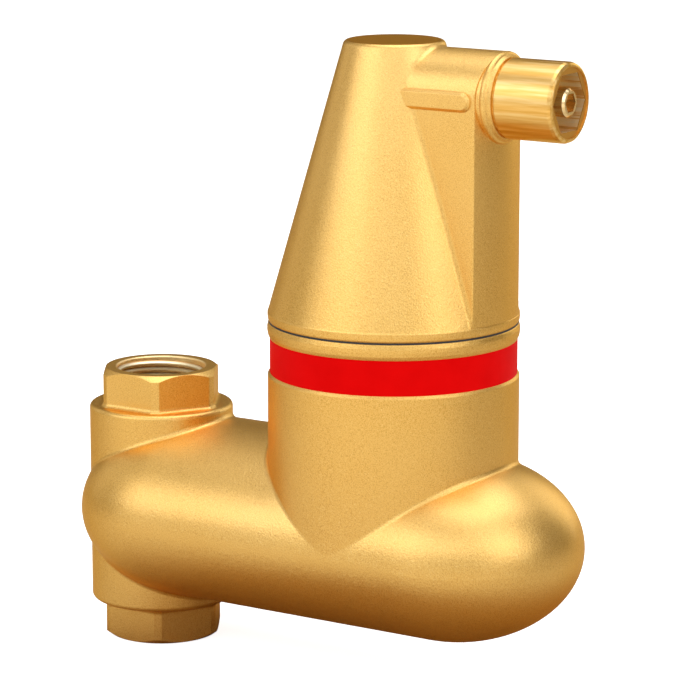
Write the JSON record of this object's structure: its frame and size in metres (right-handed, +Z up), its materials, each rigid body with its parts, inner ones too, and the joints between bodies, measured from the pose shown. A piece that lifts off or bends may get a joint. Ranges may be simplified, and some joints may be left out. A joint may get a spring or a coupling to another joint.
{
  "type": "air separator",
  "caption": "Brass air separator for a vertical pipe: capsule flow body with two threaded ports, conical air cap with float vent, and a red band.",
  "frame": {"origin": "centre of the lower port's mouth, on the pipe axis", "axes": "+Z up the pipe axis to the upper port, +X from the pipe towards the chamber and the vent outlet"},
  "size_m": [0.1616, 0.0724, 0.1849],
  "materials": {
    "cast_brass": "shot-blasted, satin",
    "polished_brass": "turned and polished",
    "turned_brass": "turned",
    "red_label": "smooth film, semi-gloss",
    "sheet_steel": "stamped stainless sheet",
    "ring_steel": "stamped thin stainless strip",
    "pin_steel": "ground stainless",
    "float_plastic": "moulded polypropylene, natural",
    "white_plastic": "moulded acetal",
    "black_rubber": "moulded, dry"
  },
  "bodies": {
    "casting": {"body_casting": "cast_brass", "label_band": "red_label", "ring_basket": "sheet_steel", "pall_ring_1": "ring_steel", "pall_ring_2": "ring_steel", "pall_ring_3": "ring_steel", "pall_ring_4": "ring_steel", "pall_ring_5": "ring_steel", "pall_ring_6": "ring_steel", "pall_ring_7": "ring_steel", "pall_ring_8": "ring_steel", "ring_retainer": "sheet_steel", "guide_bush": "white_plastic", "cap_o_ring": "black_rubber", "air_cap": "cast_brass", "valve_bracket": "sheet_steel", "valve_seat": "turned_brass", "pivot_pin": "pin_steel", "vent_sleeve": "polished_brass", "sleeve_o_ring": "black_rubber"},
    "float": {"float_shell": "float_plastic", "float_base": "float_plastic", "float_guide_pin": "pin_steel", "float_eye": "sheet_steel"},
    "lever_arm": {"lever": "sheet_steel", "lever_pad": "black_rubber", "link_pin": "pin_steel"},
    "seal_carrier": {"shutoff_seal": "black_rubber"},
    "vent_screw": {"vent_screw": "turned_brass", "screw_o_ring": "black_rubber"}
  },
  "joints": [
    {"name": "float_travel", "type": "slide", "parent": "casting", "child": "float", "axis": [0, 0, 1], "range_m": [0, 0.00534]},
    {"name": "lever_swing", "type": "hinge", "parent": "casting", "child": "lever_arm", "pos_m": [0.09, 0, 0.1619], "axis": [0, 1, 0], "range_deg": [0, 22.01]},
    {"name": "seal_travel", "type": "slide", "parent": "casting", "child": "seal_carrier", "axis": [-1, 0, 0], "range_m": [0, 0.002]},
    {"name": "screw_turn", "type": "hinge", "parent": "seal_carrier", "child": "vent_screw", "pos_m": [0.125, 0, 0.1709], "axis": [-1, 0, 0], "range_deg": [0, 720.05]}
  ],
  "couplings": [
    {"joint": "lever_swing", "follows": "float_travel", "rad_per_m": 71.869},
    {"joint": "screw_turn", "follows": "seal_travel", "rad_per_m": 6283.2}
  ]
}
